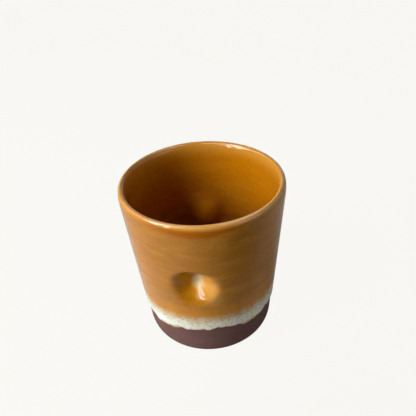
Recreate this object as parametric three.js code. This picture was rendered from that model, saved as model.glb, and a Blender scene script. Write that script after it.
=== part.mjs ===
// A small cortado cup without a handle: a turned stoneware body, pinched between thumb and
// finger, lined and coated with amber glaze, and a cream band where the outer coat runs thin
// above the bare clay. Millimetres, +Z up, origin at the centre of the foot on the table.
import * as THREE from 'three';

// Overall form: the finished outside wall is a straight taper, carried from table to rim
const HEIGHT = 70;
const RIM_RADIUS = 33;
const BASE_RADIUS = 27.8;

// Layers of the wall: clay, a coat of glaze on each side, and the hairline each coat keeps
// to whatever it lies on or meets
const CLAY_WALL = 2.2;
const CLAY_FLOOR = 4.3;
const GLAZE = 0.4;
const HAIRLINE = 0.1;

// Lip: how far in from the outside wall its crown is, where its rounding begins below the rim
// on each side, and how full the curve is
const CROWN_INSET = 1.4;
const LIP_DROP_OUTSIDE = 5;
const LIP_DROP_INSIDE = 6.5;
const LIP_FULLNESS = 0.4;
const CROWN_FULLNESS = 0.8;

// Inside corner between wall and floor
const CORNER_RISE = 7;
const CORNER_REACH = 7;

// Foot: the turned edge that rounds up into the wall, and the ring around a shallow recess
const FOOT_RISE = 4.5;
const FOOT_INSET = 2.5;
const FOOT_RING_WIDTH = 4.5;
const RECESS_DEPTH = 1.2;
const RECESS_SLOPE = 1.6;

// Pinch: two dimples pressed through clay and glaze, thumb in front and finger behind, each with
// its angle, the height and depth of its deepest place, and its reach from there. The thumb came
// from above and leans, so its dimple is steep at the top and runs out slowly below
const THUMB_ANGLE = -90;
const THUMB_HEIGHT = 41.6;
const THUMB_DEPTH = 6.8;
const THUMB_HALF_WIDTH = 9.7;
const THUMB_REACH_ABOVE = 8.3;
const THUMB_REACH_BELOW = 12.4;
const THUMB_LEAN = 14;
const FINGER_ANGLE = 98.5;
const FINGER_HEIGHT = 36.5;
const FINGER_DEPTH = 4;
const FINGER_HALF_WIDTH = 11.5;
const FINGER_REACH_ABOVE = 10.5;
const FINGER_REACH_BELOW = 12;
const DIMPLE_FULLNESS = 2.3;
const DIMPLE_SOFTNESS = 2.1;

// Glaze lines around the cup: mean height, and waves given by count, swing and crest angle
const LOWER_LINE_HEIGHT = 14.4;
const LOWER_LINE_WAVES = [
  { count: 2, swing: 1.1, crest: -68 },
  { count: 5, swing: 0.9, crest: -10 },
  { count: 9, swing: 0.45, crest: 13 },
];
const UPPER_LINE_HEIGHT = 22.7;
const UPPER_LINE_WAVES = [
  { count: 1, swing: 1.3, crest: 20 },
  { count: 3, swing: 0.6, crest: -100 },
];

// Fineness of the turned surfaces
const STATIONS = 52;
const STATION_BUNCHING = 0.6;
const DIMPLE_STEPS = 13;
const LIP_STEPS = 4;
const CORNER_STEPS = 3;
const FOOT_STEPS = 4;

// Depths of the layers under the finished surface, and the whole wall
const CLAY_DEPTH = GLAZE + HAIRLINE;
const WALL = CLAY_WALL + 2 * CLAY_DEPTH;
const FLOOR_HEIGHT = RECESS_DEPTH + CLAY_FLOOR + CLAY_DEPTH;

const radians = THREE.MathUtils.degToRad;
const point = (radius, height) => new THREE.Vector2(radius, height);
const outsideRadius = (height) => BASE_RADIUS + (RIM_RADIUS - BASE_RADIUS) * height / HEIGHT;
const insideRadius = (height) => outsideRadius(height) - WALL;
const wallSlope = point(RIM_RADIUS - BASE_RADIUS, HEIGHT).normalize();

function glazeLine(mean, waves, angle) {
  const swell = (sum, wave) => sum + wave.swing * Math.cos(wave.count * (angle - radians(wave.crest)));
  return waves.reduce(swell, mean);
}

const highestPoint = (mean, waves) => waves.reduce((sum, wave) => sum + wave.swing, mean);
const lowerLine = (angle) => glazeLine(LOWER_LINE_HEIGHT, LOWER_LINE_WAVES, angle);
const upperLine = (angle) => glazeLine(UPPER_LINE_HEIGHT, UPPER_LINE_WAVES, angle);

const dimples = [
  {
    angle: radians(THUMB_ANGLE),
    height: THUMB_HEIGHT,
    depth: THUMB_DEPTH,
    halfWidth: THUMB_HALF_WIDTH,
    above: THUMB_REACH_ABOVE,
    below: THUMB_REACH_BELOW,
    lean: radians(THUMB_LEAN),
  },
  {
    angle: radians(FINGER_ANGLE),
    height: FINGER_HEIGHT,
    depth: FINGER_DEPTH,
    halfWidth: FINGER_HALF_WIDTH,
    above: FINGER_REACH_ABOVE,
    below: FINGER_REACH_BELOW,
    lean: 0,
  },
];

// How far a dimple pushes the wall in at an angle and height: a bowl with soft shoulders
function pushOf(dimple, angle, height) {
  const turn = angle - dimple.angle;
  const level = Math.atan2(Math.sin(turn), Math.cos(turn)) * outsideRadius(dimple.height);
  const offset = point(level, height - dimple.height).rotateAround(point(0, 0), dimple.lean);
  const upright = offset.y > 0 ? dimple.above : dimple.below;
  const reach = Math.min(1, Math.hypot(offset.x / dimple.halfWidth, offset.y / upright));
  return dimple.depth * (1 - reach ** DIMPLE_FULLNESS) ** DIMPLE_SOFTNESS;
}

const pinch = (angle, height) => dimples.reduce((sum, dimple) => sum + pushOf(dimple, angle, height), 0);

// A row is a place on the finished surface in the (radius, height) plane with its outward
// normal, taken up the outside, over the lip and down the inside
function rowOf(place, along) {
  return { radius: place.x, height: place.y, outRadius: along.y, outHeight: -along.x };
}

const outsideRow = (height) => rowOf(point(outsideRadius(height), height), wallSlope);
const insideRow = (height) => rowOf(point(insideRadius(height), height), wallSlope.clone().negate());

function rowsAlong(curve, steps) {
  const rows = [];
  for (let step = 0; step <= steps; step++) {
    rows.push(rowOf(curve.getPoint(step / steps), curve.getTangent(step / steps)));
  }
  return rows;
}

// Heights of the rows that shape the dimples, kept below the lip. The lowest is clear of the line
// where the coat ends, so that clay and glaze share every row
function dimpleHeights(highest) {
  const coatEdge = highestPoint(UPPER_LINE_HEIGHT, UPPER_LINE_WAVES) + HAIRLINE;
  const dimpleEnd = Math.min(...dimples.map((dimple) => dimple.height - dimple.below));
  const bottom = Math.max(coatEdge + GLAZE, dimpleEnd);
  const top = Math.max(...dimples.map((dimple) => dimple.height + dimple.above));
  const heights = [];
  for (let step = 0; step <= DIMPLE_STEPS; step++) {
    heights.push(bottom + (top - bottom) * step / DIMPLE_STEPS);
  }
  return heights.filter((height) => height < highest);
}

// The lip: from the straight wall over the crown, split where the two coats meet
function outsideLip() {
  const start = HEIGHT - LIP_DROP_OUTSIDE;
  const foot = point(outsideRadius(start), start);
  const crown = point(RIM_RADIUS - CROWN_INSET + HAIRLINE / 2, HEIGHT);
  const rise = foot.clone().addScaledVector(wallSlope, LIP_DROP_OUTSIDE * LIP_FULLNESS);
  const reach = point(crown.x + CROWN_INSET * CROWN_FULLNESS, HEIGHT);
  return rowsAlong(new THREE.CubicBezierCurve(foot, rise, reach, crown), LIP_STEPS);
}

function insideLip() {
  const end = HEIGHT - LIP_DROP_INSIDE;
  const crown = point(RIM_RADIUS - CROWN_INSET - HAIRLINE / 2, HEIGHT);
  const reach = point(crown.x - (WALL - CROWN_INSET) * CROWN_FULLNESS, HEIGHT);
  const foot = point(insideRadius(end), end);
  const rise = foot.clone().addScaledVector(wallSlope, LIP_DROP_INSIDE * LIP_FULLNESS);
  return rowsAlong(new THREE.CubicBezierCurve(crown, reach, rise, foot), LIP_STEPS);
}

function outsideRows() {
  const heights = dimpleHeights(HEIGHT - LIP_DROP_OUTSIDE);
  return [...heights.map(outsideRow), ...outsideLip()];
}

function insideRows() {
  const cornerTop = FLOOR_HEIGHT + CORNER_RISE;
  const heights = dimpleHeights(HEIGHT - LIP_DROP_INSIDE).reverse();
  const wallEnd = point(insideRadius(cornerTop), cornerTop);
  const corner = point(insideRadius(FLOOR_HEIGHT), FLOOR_HEIGHT);
  const floorEnd = point(corner.x - CORNER_REACH, FLOOR_HEIGHT);
  const bend = new THREE.QuadraticBezierCurve(wallEnd, corner, floorEnd);
  const middle = rowOf(point(0, FLOOR_HEIGHT), point(-1, 0));
  return [...insideLip(), ...heights.map(insideRow), ...rowsAlong(bend, CORNER_STEPS), middle];
}

// A ring says where a row lies at an angle: sunk to its layer, then pushed in by the pinch
function sink(row, depth, angle) {
  const radius = row.radius - row.outRadius * depth - pinch(angle, row.height);
  return point(radius, row.height - row.outHeight * depth);
}

const ringAt = (depth) => (row) => (angle) => sink(row, depth, angle);
const ringOnLine = (line, depth) => (angle) => sink(outsideRow(line(angle)), depth, angle);
const fixedRing = (radius, height) => () => point(radius, height);

// Stations are bunched on the front and the back, where the dimples are
function stationAngle(station) {
  const even = 2 * Math.PI * (station % STATIONS) / STATIONS;
  return even + STATION_BUNCHING / 2 * Math.sin(2 * even);
}

// Turns rings into a closed surface. A coat is turned against the clay, its near side first,
// and then faced outwards, so that facets on both sides of the hairline share their diagonals
function turned(rings, againstClay) {
  const surface = new THREE.LatheGeometry(rings.map((ring) => ring(0)), STATIONS);
  const places = surface.attributes.position;
  for (let station = 0; station <= STATIONS; station++) {
    const angle = stationAngle(station);
    rings.forEach((ring, level) => {
      const place = ring(angle);
      const x = place.x * Math.cos(angle);
      const y = place.x * Math.sin(angle);
      places.setXYZ(station * rings.length + level, x, y, place.y);
    });
  }
  if (againstClay) {
    surface.index.array.reverse();
  }
  surface.computeVertexNormals();
  return surface;
}

function stonewareBody() {
  const clayOutside = (height) => outsideRadius(height) - CLAY_DEPTH / wallSlope.y;
  const ringOuter = clayOutside(0) - FOOT_INSET;
  const ringInner = ringOuter - FOOT_RING_WIDTH;
  const turnedEdge = new THREE.QuadraticBezierCurve(
    point(ringOuter, 0),
    point(clayOutside(0), 0),
    point(clayOutside(FOOT_RISE), FOOT_RISE),
  );
  const edgeRings = turnedEdge.getPoints(FOOT_STEPS).map((place) => fixedRing(place.x, place.y));
  return turned([
    fixedRing(0, RECESS_DEPTH),
    fixedRing(ringInner - RECESS_SLOPE, RECESS_DEPTH),
    fixedRing(ringInner, 0),
    ...edgeRings,
    ...outsideRows().map(ringAt(CLAY_DEPTH)),
    ...insideRows().map(ringAt(CLAY_DEPTH)),
  ], false);
}

function amberGlazeCoat() {
  const edge = (angle) => upperLine(angle) + HAIRLINE;
  const rows = outsideRows();
  const nearSide = [ringOnLine(edge, GLAZE), ...rows.map(ringAt(GLAZE))];
  const farSide = [ringOnLine(edge, 0), ...rows.map(ringAt(0))].reverse();
  return turned([...nearSide, ...farSide, nearSide[0]], true);
}

function amberGlazeLiner() {
  const rows = insideRows();
  const nearSide = rows.map(ringAt(GLAZE));
  const farSide = rows.map(ringAt(0)).reverse();
  return turned([...nearSide, ...farSide, nearSide[0]], true);
}

function creamGlazeBand() {
  const bead = (angle) => lowerLine(angle) + GLAZE;
  const nearSide = [ringOnLine(lowerLine, GLAZE), ringOnLine(bead, GLAZE), ringOnLine(upperLine, GLAZE)];
  const farSide = [ringOnLine(upperLine, 0), ringOnLine(bead, 0), ringOnLine(lowerLine, GLAZE / 2)];
  return turned([...nearSide, ...farSide, nearSide[0]], true);
}

const cup = new THREE.Group();

function addPiece(name, shape, finish) {
  const piece = new THREE.Mesh(shape, new THREE.MeshStandardMaterial(finish));
  piece.name = name;
  cup.add(piece);
}

addPiece('stoneware_body', stonewareBody(), { color: '#5d433f', roughness: 0.9, metalness: 0 });
addPiece('amber_glaze_coat', amberGlazeCoat(), { color: '#b0752f', roughness: 0.2, metalness: 0 });
addPiece('amber_glaze_liner', amberGlazeLiner(), { color: '#a96c0c', roughness: 0.18, metalness: 0 });
addPiece('cream_glaze_band', creamGlazeBand(), { color: '#d6d2bb', roughness: 0.3, metalness: 0 });

export default cup;
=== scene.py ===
import math
from collections import namedtuple

import bmesh
import bpy
import numpy as np
from mathutils import Matrix, Vector, geometry


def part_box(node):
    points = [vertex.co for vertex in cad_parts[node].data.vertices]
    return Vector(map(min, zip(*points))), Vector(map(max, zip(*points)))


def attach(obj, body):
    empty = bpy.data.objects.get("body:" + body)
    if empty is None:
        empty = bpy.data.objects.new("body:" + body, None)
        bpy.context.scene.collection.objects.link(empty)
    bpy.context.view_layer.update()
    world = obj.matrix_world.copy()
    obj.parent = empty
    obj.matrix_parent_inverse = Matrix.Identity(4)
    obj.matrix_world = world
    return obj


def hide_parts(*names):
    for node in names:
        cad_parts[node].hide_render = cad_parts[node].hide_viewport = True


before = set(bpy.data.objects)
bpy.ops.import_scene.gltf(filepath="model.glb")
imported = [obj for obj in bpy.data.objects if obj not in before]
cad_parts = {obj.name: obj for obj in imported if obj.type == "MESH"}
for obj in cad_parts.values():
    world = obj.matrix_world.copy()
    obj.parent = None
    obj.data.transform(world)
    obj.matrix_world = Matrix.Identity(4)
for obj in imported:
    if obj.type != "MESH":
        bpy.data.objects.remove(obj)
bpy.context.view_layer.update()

# Cup sizes, in metres: the finished outside wall is a straight taper from table to rim
MM = 0.001
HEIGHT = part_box("amber_glaze_coat")[1].z
RIM_RADIUS = 33 * MM
BASE_RADIUS = 27.8 * MM
WALL_SLOPE = Vector((RIM_RADIUS - BASE_RADIUS, HEIGHT)).normalized()
WALL = 3.2 * MM
GLAZE = 0.4 * MM
CLAY_DEPTH = 0.5 * MM
FLOOR_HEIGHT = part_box("amber_glaze_liner")[0].z + GLAZE

# Lip: how far in from the rim its crown is, how far down each side is rounded, and how full it is
CROWN_INSET = 1.7 * MM
LIP_DROP_OUTSIDE = 6.5 * MM
LIP_DROP_INSIDE = 6.5 * MM
LIP_FULLNESS = 0.4
CROWN_FULLNESS_OUTSIDE = 1
CROWN_FULLNESS_INSIDE = 1.1

# Inside corner between wall and floor
CORNER_RISE = 7 * MM
CORNER_REACH = 7 * MM

# Foot: rounded edge, ring and shallow recess
FOOT_RISE = 4.5 * MM
FOOT_INSET = 2.5 * MM
FOOT_RING_WIDTH = 4.5 * MM
RECESS_DEPTH = 1.2 * MM
RECESS_SLOPE = 1.6 * MM

# Share of the way to the corner at which a rounded corner's handles lie
CORNER_FULLNESS = 2 / 3

# Pinch: a thumb dimple in front, steep at its top, and a shallower finger dimple behind. The height
# is that of the deepest place, and above and below are its reach from there
Dimple = namedtuple("Dimple", "angle height depth half_width above below lean")
THUMB_DIMPLE = Dimple(
    angle=math.radians(-90),
    height=41.6 * MM,
    depth=6.8 * MM,
    half_width=10.5 * MM,
    above=8.5 * MM,
    below=12.8 * MM,
    lean=math.radians(14),
)
FINGER_DIMPLE = Dimple(
    angle=math.radians(98.5),
    height=36.5 * MM,
    depth=4 * MM,
    half_width=12.6 * MM,
    above=11.5 * MM,
    below=13.2 * MM,
    lean=0,
)
DIMPLE_FULLNESS = 2.3
DIMPLE_SOFTNESS = 2.6

# Milky glaze in the thumb dimple: a pool, and a paler patch beside it on the dimple's side that faces
# the window, which is thin milky glaze and painted light. How far the middle of each is right of and
# above the deepest place, its size, and how its length leans from level
Spot = namedtuple("Spot", "right above half_length half_width lean")
MILKY_POOL = Spot(0.5 * MM, -2.5 * MM, 4.7 * MM, 4.7 * MM, math.radians(-52))
MILKY_AND_LIT_VEIL = Spot(5.8 * MM, -4.5 * MM, 9 * MM, 6 * MM, math.radians(-70))

# Faint turning rings left in the wall: spacing, height and how much they wander
RING_SPACING = 3.1 * MM
RING_RELIEF = 0.025 * MM
RING_WANDER = 1.7

# Glaze lines: mean height, and waves as (count, swing, crest angle in degrees)
LOWER_LINE_HEIGHT = 14.4 * MM
LOWER_LINE_WAVES = (
    (2, 1.1 * MM, -68),
    (5, 0.9 * MM, -10),
    (9, 0.45 * MM, 13),
    (23, 0.28 * MM, 4),
    (37, 0.22 * MM, 1),
    (61, 0.12 * MM, 2),
)
UPPER_LINE_HEIGHT = 22.7 * MM
UPPER_LINE_WAVES = (
    (1, 1.3 * MM, 20),
    (3, 0.6 * MM, -100),
    (11, 0.25 * MM, -12),
    (31, 0.2 * MM, 5),
    (53, 0.15 * MM, 0),
)
BAND_TOP = 28 * MM

# Places where the lower edge of the cream has run thin and tan: angle of the middle and half width
THIN_EDGES = (
    (math.radians(-117), math.radians(12)),
    (math.radians(-48), math.radians(9)),
    (math.radians(35), math.radians(14)),
    (math.radians(150), math.radians(10)),
)

# Darker amber under the lip in front, a run of deeper glaze and a painted dark reflection of the room in
# the lip's rounding: angle of its middle, lowest height, how far its lower edge has climbed one radian
# to both sides, and how that climb bends
RUN_AND_REFLECTION_MIDDLE = math.radians(-87)
RUN_AND_REFLECTION_HEIGHT = 65.35 * MM
RUN_AND_REFLECTION_CLIMB = 5.2 * MM
RUN_AND_REFLECTION_BEND = 1.25

# Side of the cup facing the window lamps, where the lip's amber is painted darker as painted shade and
# the cream's bead is painted whiter as painted light
WINDOW_SIDE = math.radians(-155)

# How far down the lip the amber is thin, outside and inside, and the share of it left on the window
# side, where the lip is painted darker as painted shade
THIN_LIP_OUTSIDE = 2.2 * MM
THIN_LIP_INSIDE = 7.0 * MM
THIN_LIP_ON_WINDOW_SIDE = 0.5

# Heights between which the amber inside clears from its dark tone near the floor, which is pooled glaze
# and painted shade low in the cup
LINER_POOLED_AND_SHADED_TO = 0.3 * HEIGHT
LINER_CLEAR_FROM = 0.7 * HEIGHT

# Strength of the streaks in the amber outside and inside, and of the darker amber under the lip, which
# is deeper glaze and a painted dark reflection
STREAKS_OUTSIDE = 1.0
STREAKS_INSIDE = 0.3
RUN_AND_REFLECTION_SHARE = 0.9

# Fineness of the turned meshes, on surfaces that show and on hidden ones
TURN_STEPS = 256
FINE_STEP = 0.5 * MM
HIDDEN_STEP = 1.5 * MM
CURVE_STEPS = 14
BEAD_STEPS = 5
WELD = 0.001 * MM
SHARP_ANGLE = math.radians(50)

# Glaze and clay colours
AMBER = (0.41, 0.155, 0.003, 1)
AMBER_ROSE = (0.48, 0.190, 0.014, 1)
AMBER_OLIVE = (0.355, 0.142, 0.007, 1)
AMBER_SPECK = (0.27, 0.085, 0.002, 1)
AMBER_GOLD = (0.56, 0.215, 0.006, 1)
# Darker amber under the lip: deeper glaze and a painted dark reflection
AMBER_RUN_AND_REFLECTION = (0.37, 0.100, 0.001, 1)
AMBER_POOL = (0.58, 0.222, 0.002, 1)
AMBER_THIN = (0.70, 0.345, 0.075, 1)
# Paler amber on the dimple's window side: thin milky glaze and painted light
AMBER_LIT_VEIL = (0.70, 0.345, 0.07, 1)
LINER = (0.44, 0.148, 0.001, 1)
# Darker amber low inside: pooled glaze and painted shade
LINER_POOLED_AND_SHADED = (0.215, 0.047, 0.001, 1)
LINER_THIN = (0.55, 0.238, 0.028, 1)
MILKY = (0.84, 0.66, 0.34, 1)
MILKY_GREY = (0.76, 0.60, 0.33, 1)
CREAM = (0.79, 0.80, 0.70, 1)
CREAM_WHITE = (0.79, 0.83, 0.82, 1)
CREAM_TAN = (0.62, 0.53, 0.35, 1)
FLECK = (0.42, 0.29, 0.12, 1)
FRINGE = (0.60, 0.45, 0.22, 1)
CLAY = (0.152, 0.078, 0.069, 1)
CLAY_DARK = (0.136, 0.070, 0.062, 1)
CLAY_SPECK = (0.27, 0.16, 0.13, 1)

# Patterns in glaze and clay: patches to the metre, how much closer they lie along each axis, so that
# a pattern is drawn out round the cup, and how much finer detail they hold
Pattern = namedtuple("Pattern", "scale stretch detail roughness", defaults=((1, 1, 1), 3.0, 0.55))
AMBER_STREAKS = Pattern(35, (1.6, 1.6, 9))
AMBER_BRUSHING = Pattern(60, (1.5, 1.5, 6))
AMBER_CLOUDS = Pattern(55, (1, 1, 2), detail=2.0)
AMBER_SPECKS = Pattern(850, detail=2.0)
MILK_CRUMBS = Pattern(900)
GLAZE_RIPPLES = Pattern(160, detail=2.0)
CREAM_CRUMBS = Pattern(700, roughness=0.65)
CREAM_FEATHER = Pattern(230, (1, 1, 0.7))
CREAM_CLOUDS = Pattern(110, detail=2.0)
CREAM_SPECKLE = Pattern(900, detail=2.0)
CREAM_FLECKS = Pattern(1200, detail=2.0)
CLAY_CLOUDS = Pattern(90, (1, 1, 3))
CLAY_GRIT = Pattern(1100, detail=1.0)
CLAY_GRAIN = Pattern(2600, roughness=0.7)

# Finish of glaze and clay: roughness, fine relief and how strongly they mirror
AMBER_ROUGHNESS = 0.07
CREAM_ROUGHNESS = 0.16
RIPPLE_RELIEF = 0.008 * MM
GLAZE_IOR = 1.46
CLAY_ROUGHNESS = 0.85
GRAIN_RELIEF = 0.04 * MM
CLAY_SPECULAR = 0.15

# Photograph: image side and focal length in pixels, sensor in millimetres, and where the camera stood
IMAGE_PIXELS = 416
FOCAL_PIXELS = 450
SENSOR = 36
CAMERA_TURN = math.radians(10.3)
CAMERA_DISTANCE = 150.65 * MM
CAMERA_HEIGHT = 158.74 * MM
CAMERA_YAW = math.radians(0.68)
CAMERA_PITCH = math.radians(34.44)
CAMERA_ROLL = math.radians(-3.87)
CAMERA_NEAR = 10 * MM

# Pale paper floor: half its side, how far it reaches in front, its shaded part in front at the right,
# how evenly it shows, and from where on and how strongly the glaze mirrors it
PAPER_WHITE = (0.947, 0.939, 0.905, 1)
PAPER_LIT = (0.56, 0.54, 0.51, 1)
PAPER_SHADED = (0.17, 0.16, 0.14, 1)
FLOOR_REACH = 3
FLOOR_FRONT = 103 * MM
SHADE_MIDDLE = (55 * MM, -75 * MM, 0)
SHADE_REACH = 110 * MM
FLOOR_EVENNESS = 0.96
FLOOR_GLOW = 1.02
MIRRORED_FROM = 40 * MM
MIRRORED_FULLY = 130 * MM
FLOOR_IN_GLOSS = 0.22

# Light of the room around
ROOM_COLOUR = (1, 0.98, 0.95, 1)
ROOM_GLOW = 0.04


def outside_radius(height):
    return BASE_RADIUS + (RIM_RADIUS - BASE_RADIUS) * height / HEIGHT


def on_wall(height, depth=0):
    """A place on the outside wall, or under it by a depth measured level."""
    return Vector((outside_radius(height) - depth, height))


def crown_place():
    return Vector((RIM_RADIUS - CROWN_INSET, HEIGHT))


def turn_from(angle, centre):
    return (angle - centre + math.pi) % math.tau - math.pi


def pinch(angle, height):
    """How far the wall is pushed in at angles and heights."""
    push = np.zeros_like(angle)
    for dimple in (THUMB_DIMPLE, FINGER_DIMPLE):
        level = turn_from(angle, dimple.angle) * outside_radius(dimple.height)
        plumb = height - dimple.height
        across = level * math.cos(dimple.lean) - plumb * math.sin(dimple.lean)
        up = level * math.sin(dimple.lean) + plumb * math.cos(dimple.lean)
        upright = np.where(up > 0, dimple.above, dimple.below)
        reach = np.minimum(1, np.hypot(across / dimple.half_width, up / upright))
        push += dimple.depth * (1 - reach ** DIMPLE_FULLNESS) ** DIMPLE_SOFTNESS
    return push


def turning_rings(angle, height):
    """How far the turning rings dip into the wall. The lip and the floor have none."""
    wander = RING_WANDER * np.sin(angle) + np.sin(2 * angle + height / RING_SPACING)
    rings = RING_RELIEF * np.sin(math.tau * height / RING_SPACING + wander)
    on_the_wall = (height > FLOOR_HEIGHT + CORNER_RISE) & (height < HEIGHT - LIP_DROP_OUTSIDE)
    return rings * on_the_wall


def glaze_line(mean, waves, angle):
    swells = [swing * np.cos(count * (angle - math.radians(crest))) for count, swing, crest in waves]
    return mean + sum(swells)


def run_and_reflection_line(angle):
    """Height of the lower edge of the darker amber under the lip, with its painted dark reflection."""
    return RUN_AND_REFLECTION_HEIGHT + RUN_AND_REFLECTION_CLIMB * np.abs(turn_from(angle, RUN_AND_REFLECTION_MIDDLE)) ** RUN_AND_REFLECTION_BEND


def window_side(angle):
    """How near an angle is to the window side, from 0 to 1, for painted light and shade."""
    return np.maximum(0, np.cos(angle - WINDOW_SIDE)) ** 2


def thin_edge(angle):
    """How thin the cream's lower edge has run at an angle, from 0 to 1."""
    return sum(np.maximum(0, 1 - (turn_from(angle, centre) / half) ** 2) for centre, half in THIN_EDGES)


def run_together(angle, height, spot):
    """How thickly glaze has run together at a spot in the thumb dimple, from 0 to 1."""
    level = (angle - THUMB_DIMPLE.angle) * outside_radius(THUMB_DIMPLE.height) - spot.right
    plumb = height - THUMB_DIMPLE.height - spot.above
    along = level * math.cos(spot.lean) + plumb * math.sin(spot.lean)
    across = plumb * math.cos(spot.lean) - level * math.sin(spot.lean)
    return np.maximum(0, 1 - np.hypot(along / spot.half_length, across / spot.half_width))


def straight(start, end, step):
    count = max(1, round((end - start).length / step))
    return [start.lerp(end, index / count) for index in range(count + 1)]


def curve(start, start_handle, end_handle, end):
    corners = [place.to_3d() for place in (start, start_handle, end_handle, end)]
    return [place.to_2d() for place in geometry.interpolate_bezier(*corners, CURVE_STEPS + 1)]


def rounded_corner(start, corner, end):
    return curve(start, start.lerp(corner, CORNER_FULLNESS), end.lerp(corner, CORNER_FULLNESS), end)


def chain(*stretches):
    """Joins stretches of outline that share their end places."""
    joined = list(stretches[0])
    for stretch in stretches[1:]:
        joined += stretch[1:]
    return joined


def sunk(outline, depth):
    """The outline moved into the wall by a depth, square to the surface."""
    moved = []
    for index, place in enumerate(outline):
        before = outline[max(index - 1, 0)]
        after = outline[min(index + 1, len(outline) - 1)]
        along = (after - before).normalized()
        moved.append(place - Vector((along.y, -along.x)) * depth)
    return moved


def outside_outline(bottom, step):
    """The finished surface from a height on the outside wall up to the crown of the lip."""
    crown = crown_place()
    shoulder = on_wall(HEIGHT - LIP_DROP_OUTSIDE)
    climb = shoulder + WALL_SLOPE * LIP_DROP_OUTSIDE * LIP_FULLNESS
    reach = crown + Vector((CROWN_INSET * CROWN_FULLNESS_OUTSIDE, 0))
    return chain(straight(on_wall(bottom), shoulder, step), curve(shoulder, climb, reach, crown))


def inside_outline(step):
    """The finished surface from the crown of the lip down to the middle of the floor."""
    crown = crown_place()
    shoulder = on_wall(HEIGHT - LIP_DROP_INSIDE, WALL)
    climb = shoulder + WALL_SLOPE * LIP_DROP_INSIDE * LIP_FULLNESS
    reach = crown - Vector(((WALL - CROWN_INSET) * CROWN_FULLNESS_INSIDE, 0))
    bend_top = on_wall(FLOOR_HEIGHT + CORNER_RISE, WALL)
    corner = on_wall(FLOOR_HEIGHT, WALL)
    bend_end = corner - Vector((CORNER_REACH, 0))
    return chain(
        curve(crown, reach, climb, shoulder),
        straight(shoulder, bend_top, step),
        rounded_corner(bend_top, corner, bend_end),
        straight(bend_end, Vector((0, FLOOR_HEIGHT)), step),
    )


def turned_piece(name, outline, closed=False):
    """Turns an outline about the cup's axis into a closed mesh."""
    turning = bmesh.new()
    verts = [turning.verts.new((place.x, 0, place.y)) for place in outline]
    ends = verts[1:] + verts[:1] if closed else verts[1:]
    edges = [turning.edges.new(pair) for pair in zip(verts, ends)]
    bmesh.ops.spin(
        turning,
        geom=verts + edges,
        cent=(0, 0, 0),
        axis=(0, 0, 1),
        angle=math.tau,
        steps=TURN_STEPS,
        use_merge=True,
    )
    bmesh.ops.remove_doubles(turning, verts=turning.verts, dist=WELD)
    bmesh.ops.dissolve_degenerate(turning, edges=turning.edges, dist=WELD)
    bmesh.ops.recalc_face_normals(turning, faces=turning.faces)
    mesh = bpy.data.meshes.new(name)
    turning.to_mesh(mesh)
    turning.free()
    piece = bpy.data.objects.new(name, mesh)
    bpy.context.scene.collection.objects.link(piece)
    return piece


def note_glaze(mesh, angle, height, push):
    """Notes at every vertex how the glaze lies there and where light and shade are painted, for the
    materials. Heights are in millimetres.
    """
    lower_line = glaze_line(LOWER_LINE_HEIGHT, LOWER_LINE_WAVES, angle)
    upper_line = glaze_line(UPPER_LINE_HEIGHT, UPPER_LINE_WAVES, angle)
    notes = {
        "pinch": push / THUMB_DIMPLE.depth,
        "pool": run_together(angle, height, MILKY_POOL),
        "lit_veil": run_together(angle, height, MILKY_AND_LIT_VEIL),
        "thin_edge": thin_edge(angle),
        "window_side": window_side(angle),
        "above_run_and_reflection": (height - run_and_reflection_line(angle)) / MM,
        "above_lower": (height - lower_line) / MM,
        "above_upper": (height - upper_line) / MM,
    }
    for name, values in notes.items():
        note = mesh.attributes.new(name, "FLOAT", "POINT")
        note.data.foreach_set("value", values)


def shape_wall(piece, edge_waves=False):
    """Gives a turned piece its wavy edge, turning rings and dimples, and notes the glaze on it."""
    mesh = piece.data
    flat = np.empty(len(mesh.vertices) * 3)
    mesh.vertices.foreach_get("co", flat)
    places = flat.reshape(-1, 3)
    angle = np.arctan2(places[:, 1], places[:, 0])
    radius = np.hypot(places[:, 0], places[:, 1])
    height = places[:, 2].copy()
    if edge_waves:
        share = (BAND_TOP - height) / (BAND_TOP - LOWER_LINE_HEIGHT)
        lift = share * glaze_line(0, LOWER_LINE_WAVES, angle)
        height = height + lift
        radius = radius + lift * WALL_SLOPE.x / WALL_SLOPE.y
    push = pinch(angle, height)
    radius = radius - push - turning_rings(angle, height)
    places[:, 0] = radius * np.cos(angle)
    places[:, 1] = radius * np.sin(angle)
    places[:, 2] = height
    mesh.vertices.foreach_set("co", places.ravel())
    note_glaze(mesh, angle, height, push)
    mesh.shade_smooth()
    mesh.set_sharp_from_angle(angle=SHARP_ANGLE)
    mesh.update()
    return piece


def amber_coat():
    face = outside_outline(BAND_TOP, FINE_STEP)
    back = sunk(outside_outline(BAND_TOP, HIDDEN_STEP), GLAZE)
    return shape_wall(turned_piece("amber_coat", face + back[::-1], closed=True))


def amber_liner():
    face = inside_outline(FINE_STEP)
    back = sunk(inside_outline(HIDDEN_STEP), GLAZE)
    return shape_wall(turned_piece("amber_liner", back[::-1] + face))


def cream_band():
    """The band of cream, with a rounded bead along its lower edge."""
    outward = Vector((WALL_SLOPE.y, -WALL_SLOPE.x))
    top = on_wall(BAND_TOP)
    middle = on_wall(LOWER_LINE_HEIGHT) - outward * GLAZE + WALL_SLOPE * GLAZE
    bead = []
    for step in range(BEAD_STEPS + 1):
        turn = math.pi / 2 * step / BEAD_STEPS
        bead.append(middle + GLAZE * (outward * math.sin(turn) - WALL_SLOPE * math.cos(turn)))
    back = straight(top - outward * GLAZE, bead[0], HIDDEN_STEP)
    outline = chain(bead, straight(bead[-1], top, FINE_STEP)) + back[:-1]
    return shape_wall(turned_piece("cream_band", outline, closed=True), edge_waves=True)


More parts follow.
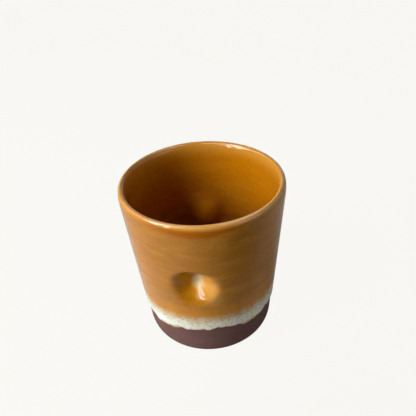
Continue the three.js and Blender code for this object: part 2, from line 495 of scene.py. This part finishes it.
def clay_body():
    """The clay cup: recess, foot ring and bare foot, then the wall under the glaze and the inside."""
    clay = CLAY_DEPTH / WALL_SLOPE.y
    corner = on_wall(0, clay)
    ring_outer = corner - Vector((FOOT_INSET, 0))
    ring_inner = ring_outer - Vector((FOOT_RING_WIDTH, 0))
    slope_end = Vector((ring_inner.x - RECESS_SLOPE, RECESS_DEPTH))
    half_slope = Vector((RECESS_SLOPE / 2, 0))
    bare_top = on_wall(LOWER_LINE_HEIGHT, clay)
    edge_top = on_wall(FOOT_RISE, clay)
    foot = chain(
        straight(Vector((0, RECESS_DEPTH)), slope_end, FINE_STEP),
        curve(slope_end, slope_end + half_slope, ring_inner - half_slope, ring_inner),
        straight(ring_inner, ring_outer, FINE_STEP),
        rounded_corner(ring_outer, corner, edge_top),
        straight(edge_top, bare_top, FINE_STEP),
    )
    outside = sunk(outside_outline(LOWER_LINE_HEIGHT, HIDDEN_STEP), CLAY_DEPTH)
    inside = sunk(inside_outline(HIDDEN_STEP), CLAY_DEPTH)
    return shape_wall(turned_piece("clay_body", foot[:-1] + outside + inside[1:]))


def node(tree, kind, inputs=None, **settings):
    """A new node with its settings, and with values or links on its inputs."""
    made = tree.nodes.new(kind)
    for key, value in settings.items():
        setattr(made, key, value)
    for socket, value in (inputs or {}).items():
        if isinstance(value, bpy.types.NodeSocket):
            tree.links.new(value, made.inputs[socket])
        else:
            made.inputs[socket].default_value = value
    return made


def new_material(name):
    material = bpy.data.materials.new(name)
    material.use_nodes = True
    material.node_tree.nodes.clear()
    return material, material.node_tree


def finish_material(tree, shader):
    node(tree, "ShaderNodeOutputMaterial", {"Surface": shader.outputs[0]})


def place_on_cup(tree, stretch=(1, 1, 1)):
    """Object coordinates, stretched so that a pattern can run round the cup."""
    coordinates = node(tree, "ShaderNodeTexCoord")
    mapping = node(tree, "ShaderNodeMapping", {"Vector": coordinates.outputs["Object"], "Scale": stretch})
    return mapping.outputs[0]


def height_on_cup(tree):
    return node(tree, "ShaderNodeSeparateXYZ", {0: place_on_cup(tree)}).outputs["Z"]


def mark(tree, name):
    """What was noted about the glaze at each vertex."""
    return node(tree, "ShaderNodeAttribute", attribute_name=name).outputs["Fac"]


def mottle(tree, pattern):
    texture = node(tree, "ShaderNodeTexNoise", {
        "Vector": place_on_cup(tree, pattern.stretch),
        "Scale": pattern.scale,
        "Detail": pattern.detail,
        "Roughness": pattern.roughness,
    })
    return texture.outputs["Fac"]


def rise(tree, value, low, high, to_low=0.0, to_high=1.0):
    """A soft step from one value to another."""
    made = node(tree, "ShaderNodeMapRange", {
        "Value": value, "From Min": low, "From Max": high, "To Min": to_low, "To Max": to_high,
    }, interpolation_type="SMOOTHSTEP")
    return made.outputs["Result"]


def maths(tree, operation, first, second):
    return node(tree, "ShaderNodeMath", {0: first, 1: second}, operation=operation).outputs[0]


def added(tree, first, second):
    return maths(tree, "ADD", first, second)


def times(tree, first, second):
    return maths(tree, "MULTIPLY", first, second)


def swing(tree, pattern, size):
    """A pattern turned into a swing to both sides of nothing."""
    return times(tree, maths(tree, "SUBTRACT", pattern, 0.5), size)


def blend(tree, share, under, over):
    """One colour laid over another by a share."""
    made = node(tree, "ShaderNodeMix", {"Factor": share}, data_type="RGBA")
    for socket, value in ((made.inputs[6], under), (made.inputs[7], over)):
        if isinstance(value, bpy.types.NodeSocket):
            tree.links.new(value, socket)
        else:
            socket.default_value = value
    return made.outputs[2]


def bump(tree, height, distance):
    relief = {"Height": height, "Distance": distance, "Strength": 1.0}
    return node(tree, "ShaderNodeBump", relief).outputs[0]


# In the colours below, a step on a pattern lies between 0 and 1, and a step on the marks that begin
# with above is in millimetres from that line


def milk_laid_on(tree, colour):
    """Milky glaze where it ran together in the thumb dimple, paler with painted light on its window side.
    """
    # Paler amber on the dimple's window side: thin milky glaze and painted light
    lit_veil = rise(tree, mark(tree, "lit_veil"), 0.0, 0.7, 0.0, 0.62)
    colour = blend(tree, lit_veil, colour, AMBER_LIT_VEIL)
    pool = mark(tree, "pool")
    crumbs = mottle(tree, MILK_CRUMBS)
    curd = rise(tree, added(tree, pool, swing(tree, crumbs, 1.6)), 0.45, 0.85)
    milky = blend(tree, curd, MILKY, MILKY_GREY)
    milk = rise(tree, added(tree, pool, swing(tree, crumbs, 0.4)), 0.1, 0.75, 0.0, 0.9)
    return blend(tree, milk, colour, milky)


def amber_colour(
    tree,
    tone=AMBER,
    streakiness=STREAKS_OUTSIDE,
    thin=AMBER_THIN,
    thin_lip=THIN_LIP_OUTSIDE,
    run_and_reflection_share=0.0,
):
    """Amber glaze: streaks round the cup, thin on the lip and over the cream, milky in a dimple."""
    streaks = rise(tree, mottle(tree, AMBER_STREAKS), 0.36, 0.66, 0.0, streakiness)
    colour = blend(tree, streaks, tone, AMBER_ROSE)
    brushing = rise(tree, mottle(tree, AMBER_BRUSHING), 0.38, 0.80, 0.0, streakiness)
    colour = blend(tree, brushing, colour, AMBER_OLIVE)
    over_cream = rise(tree, mark(tree, "above_upper"), 1.0, 9.0, 0.8, 0.0)
    colour = blend(tree, over_cream, colour, AMBER_GOLD)
    specks = rise(tree, mottle(tree, AMBER_SPECKS), 0.54, 0.74, 0.0, 0.45)
    colour = blend(tree, specks, colour, AMBER_SPECK)
    pooled = rise(tree, mark(tree, "pinch"), 0.1, 0.7)
    colour = milk_laid_on(tree, blend(tree, pooled, colour, AMBER_POOL))
    clouds = mottle(tree, AMBER_CLOUDS)
    # Darker amber under the lip in front: deeper glaze and a painted dark reflection of the room
    run_and_reflection = added(tree, mark(tree, "above_run_and_reflection"), swing(tree, clouds, 1.0))
    colour = blend(tree, rise(tree, run_and_reflection, -0.3, 0.5, 0.0, run_and_reflection_share), colour, AMBER_RUN_AND_REFLECTION)
    height = added(tree, height_on_cup(tree), swing(tree, clouds, 1.5 * MM))
    # On the window side the pale thin lip is cut to a share: painted shade against the lamps
    side_share = rise(tree, mark(tree, "window_side"), 0.0, 1.0, 1.0, THIN_LIP_ON_WINDOW_SIDE)
    lip = times(tree, rise(tree, height, HEIGHT - thin_lip, HEIGHT), side_share)
    return blend(tree, lip, colour, thin)


def gloss(tree, colour, roughness):
    return node(tree, "ShaderNodeBsdfPrincipled", {
        "Base Color": colour,
        "Roughness": roughness,
        "IOR": GLAZE_IOR,
        "Normal": bump(tree, mottle(tree, GLAZE_RIPPLES), RIPPLE_RELIEF),
    })


def coat_material():
    """Amber glaze outside, darker under the lip in front with deeper glaze and a painted dark reflection.
    """
    material, tree = new_material("amber_glaze")
    colour = amber_colour(tree, run_and_reflection_share=RUN_AND_REFLECTION_SHARE)
    finish_material(tree, gloss(tree, colour, AMBER_ROUGHNESS))
    return material


def liner_material():
    """Amber glaze inside: smoother, and darker towards the floor with pooled glaze and painted shade."""
    material, tree = new_material("amber_liner")
    # Darker towards the floor: pooled glaze and painted shade
    pooled_and_shaded = rise(tree, height_on_cup(tree), LINER_POOLED_AND_SHADED_TO, LINER_CLEAR_FROM, 1.0, 0.0)
    tone = blend(tree, pooled_and_shaded, LINER, LINER_POOLED_AND_SHADED)
    colour = amber_colour(tree, tone, STREAKS_INSIDE, LINER_THIN, THIN_LIP_INSIDE)
    finish_material(tree, gloss(tree, colour, AMBER_ROUGHNESS))
    return material


def cream_material():
    """Cream glaze: flecked above, feathered into amber, tan along the clay, and white along its bead on
    the window side, which is painted light.
    """
    material, tree = new_material("cream_glaze")
    upper = mark(tree, "above_upper")
    lower = mark(tree, "above_lower")
    crumbs = mottle(tree, CREAM_CRUMBS)
    feather = mottle(tree, CREAM_FEATHER)
    clouds = swing(tree, mottle(tree, CREAM_CLOUDS), 6.0)
    thinning = added(tree, added(tree, upper, clouds), swing(tree, crumbs, 5.0))
    colour = blend(tree, rise(tree, thinning, -5.0, 0.0), CREAM, CREAM_TAN)
    speckle = rise(tree, mottle(tree, CREAM_SPECKLE), 0.44, 0.66, 0.0, 0.8)
    colour = blend(tree, speckle, colour, CREAM_TAN)
    # White bead only on the window side: painted light
    bead = times(tree, rise(tree, lower, 0.4, 1.6), rise(tree, thinning, -6.5, -2.5, 1.0, 0.0))
    white = times(tree, bead, rise(tree, mark(tree, "window_side"), 0.1, 0.8))
    colour = blend(tree, white, colour, CREAM_WHITE)
    sparse = added(tree, mottle(tree, CREAM_FLECKS), rise(tree, upper, -7.0, 1.0, 0.0, 0.11))
    colour = blend(tree, rise(tree, sparse, 0.60, 0.74, 0.0, 0.7), colour, FLECK)
    thinned = maths(tree, "SUBTRACT", lower, rise(tree, mark(tree, "thin_edge"), 0.0, 0.7))
    edge = added(tree, thinned, swing(tree, feather, 1.8))
    colour = blend(tree, rise(tree, edge, 0.0, 1.2, 0.9, 0.0), colour, FRINGE)
    ragged = added(tree, swing(tree, crumbs, 5.5), swing(tree, feather, 4.0))
    line = rise(tree, added(tree, upper, ragged), -2.4, 2.6)
    colour = blend(tree, line, colour, amber_colour(tree))
    finish_material(tree, gloss(tree, colour, CREAM_ROUGHNESS))
    return material


def clay_material():
    """Bare stoneware: matt plum brown with a fine grain and a few paler specks."""
    material, tree = new_material("bare_clay")
    clouds = rise(tree, mottle(tree, CLAY_CLOUDS), 0.35, 0.7)
    colour = blend(tree, clouds, CLAY, CLAY_DARK)
    grit = rise(tree, mottle(tree, CLAY_GRIT), 0.68, 0.75, 0.0, 0.6)
    colour = blend(tree, grit, colour, CLAY_SPECK)
    shader = node(tree, "ShaderNodeBsdfPrincipled", {
        "Base Color": colour,
        "Roughness": CLAY_ROUGHNESS,
        "Specular IOR Level": CLAY_SPECULAR,
        "Normal": bump(tree, mottle(tree, CLAY_GRAIN), GRAIN_RELIEF),
    })
    finish_material(tree, shader)
    return material


def floor_material():
    """Pale paper: seen directly it is nearly even, and it still takes light and a faint shadow."""
    material, tree = new_material("pale_floor")
    middle = Matrix.Rotation(CAMERA_TURN, 4, "Z") @ Vector(SHADE_MIDDLE)
    ends = {0: node(tree, "ShaderNodeTexCoord").outputs["Object"], 1: middle}
    away = node(tree, "ShaderNodeVectorMath", ends, operation="DISTANCE").outputs["Value"]
    lit = rise(tree, away, 0.0, SHADE_REACH)
    paper = node(tree, "ShaderNodeBsdfDiffuse", {"Color": blend(tree, lit, PAPER_SHADED, PAPER_LIT)})
    glow = node(tree, "ShaderNodeEmission", {"Color": PAPER_WHITE, "Strength": FLOOR_GLOW})
    path = node(tree, "ShaderNodeLightPath")
    direct = times(tree, path.outputs["Is Camera Ray"], FLOOR_EVENNESS)
    other = added(tree, path.outputs["Is Glossy Ray"], path.outputs["Is Transmission Ray"])
    mirrored = times(tree, other, rise(tree, away, MIRRORED_FROM, MIRRORED_FULLY, 0.0, FLOOR_IN_GLOSS))
    share = maths(tree, "MAXIMUM", direct, mirrored)
    mix = node(tree, "ShaderNodeMixShader", {"Fac": share, 1: paper.outputs[0], 2: glow.outputs[0]})
    finish_material(tree, mix)
    return material


def lay_floor():
    mesh = bmesh.new()
    place = Matrix.Rotation(CAMERA_TURN, 4, "Z") @ Matrix.Translation((0, FLOOR_REACH - FLOOR_FRONT, 0))
    bmesh.ops.create_grid(mesh, x_segments=1, y_segments=1, size=FLOOR_REACH, matrix=place)
    data = bpy.data.meshes.new("floor")
    mesh.to_mesh(data)
    mesh.free()
    floor = bpy.data.objects.new("floor", data)
    floor.data.materials.append(floor_material())
    bpy.context.scene.collection.objects.link(floor)


def set_camera():
    lens = bpy.data.cameras.new("camera")
    lens.sensor_width = SENSOR
    lens.lens = FOCAL_PIXELS * SENSOR / IMAGE_PIXELS
    lens.clip_start = CAMERA_NEAR
    camera = bpy.data.objects.new("camera", lens)
    forward = Vector((
        math.sin(CAMERA_YAW) * math.cos(CAMERA_PITCH),
        math.cos(CAMERA_YAW) * math.cos(CAMERA_PITCH),
        -math.sin(CAMERA_PITCH),
    ))
    level = Vector((math.cos(CAMERA_YAW), -math.sin(CAMERA_YAW), 0))
    upright = level.cross(forward)
    right = math.cos(CAMERA_ROLL) * level + math.sin(CAMERA_ROLL) * upright
    up = math.cos(CAMERA_ROLL) * upright - math.sin(CAMERA_ROLL) * level
    turn = Matrix.Rotation(CAMERA_TURN, 4, "Z")
    place = Matrix.Translation((0, -CAMERA_DISTANCE, CAMERA_HEIGHT))
    facing = Matrix((right, up, -forward)).transposed().to_4x4()
    camera.matrix_world = turn @ place @ facing
    bpy.context.scene.collection.objects.link(camera)
    bpy.context.scene.camera = camera


def soft_light(name, turn, climb, distance, width, height, power, gloss_only=False):
    """A soft panel that faces the cup, its turn counted from the camera towards the right."""
    panel = bpy.data.lights.new(name, "AREA")
    panel.shape = "ELLIPSE" if gloss_only else "RECTANGLE"
    panel.size = width
    panel.size_y = height
    panel.energy = power
    light = bpy.data.objects.new(name, panel)
    around = math.radians(turn) + CAMERA_TURN
    above = math.radians(climb)
    away = Vector((
        math.sin(around) * math.cos(above),
        -math.cos(around) * math.cos(above),
        math.sin(above),
    ))
    light.location = Vector((0, 0, HEIGHT / 2)) + away * distance
    light.rotation_euler = away.to_track_quat("Z", "Y").to_euler()
    light.visible_diffuse = not gloss_only
    bpy.context.scene.collection.objects.link(light)


def set_world():
    world = bpy.data.worlds.new("studio")
    world.use_nodes = True
    tree = world.node_tree
    tree.nodes.clear()
    room = node(tree, "ShaderNodeBackground", {"Color": ROOM_COLOUR, "Strength": ROOM_GLOW})
    paper = node(tree, "ShaderNodeBackground", {"Color": PAPER_WHITE, "Strength": 1.0})
    path = node(tree, "ShaderNodeLightPath")
    mix = node(tree, "ShaderNodeMixShader", {
        "Fac": path.outputs["Is Camera Ray"], 1: room.outputs[0], 2: paper.outputs[0],
    })
    node(tree, "ShaderNodeOutputWorld", {"Surface": mix.outputs[0]})
    bpy.context.scene.world = world


bpy.context.scene.view_settings.view_transform = "Standard"

for piece, replaced, slot, material in (
    (clay_body(), "stoneware_body", "bare_clay", clay_material()),
    (amber_coat(), "amber_glaze_coat", "amber_glaze", coat_material()),
    (amber_liner(), "amber_glaze_liner", "amber_liner", liner_material()),
    (cream_band(), "cream_glaze_band", "cream_glaze", cream_material()),
):
    piece.data.materials.append(material)
    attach(piece, "root")
    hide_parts(replaced)

lay_floor()
set_camera()

# Lamps: turn from the camera and climb in degrees, distance, width and height in metres, power in watts
soft_light("window", -66, 31, 0.5, 0.24, 0.34, 1.4)
soft_light("window_middle", -64, 32, 0.5, 0.10, 0.46, 1.4)
soft_light("window_pane", -46, 16, 0.5, 0.055, 0.28, 0.55, gloss_only=True)
soft_light("window_row", -72, 31, 0.6, 0.95, 0.3, 1.9)
soft_light("sky", -80, 38, 0.6, 1.3, 0.7, 2.2, gloss_only=True)
soft_light("backdrop", 172, 18, 1.0, 2.2, 0.7, 1.7, gloss_only=True)
soft_light("wall", 100, 12, 1.0, 0.8, 0.6, 1.2)
soft_light("fill", 55, 6, 1.0, 0.6, 0.5, 1.6)
soft_light("back", 176, 6, 1.0, 1.1, 0.5, 1.7)
soft_light("ceiling", 90, 66, 0.7, 0.9, 0.35, 2.4, gloss_only=True)
soft_light("ceiling_front", -40, 52, 0.6, 0.5, 0.08, 1.5, gloss_only=True)
set_world()
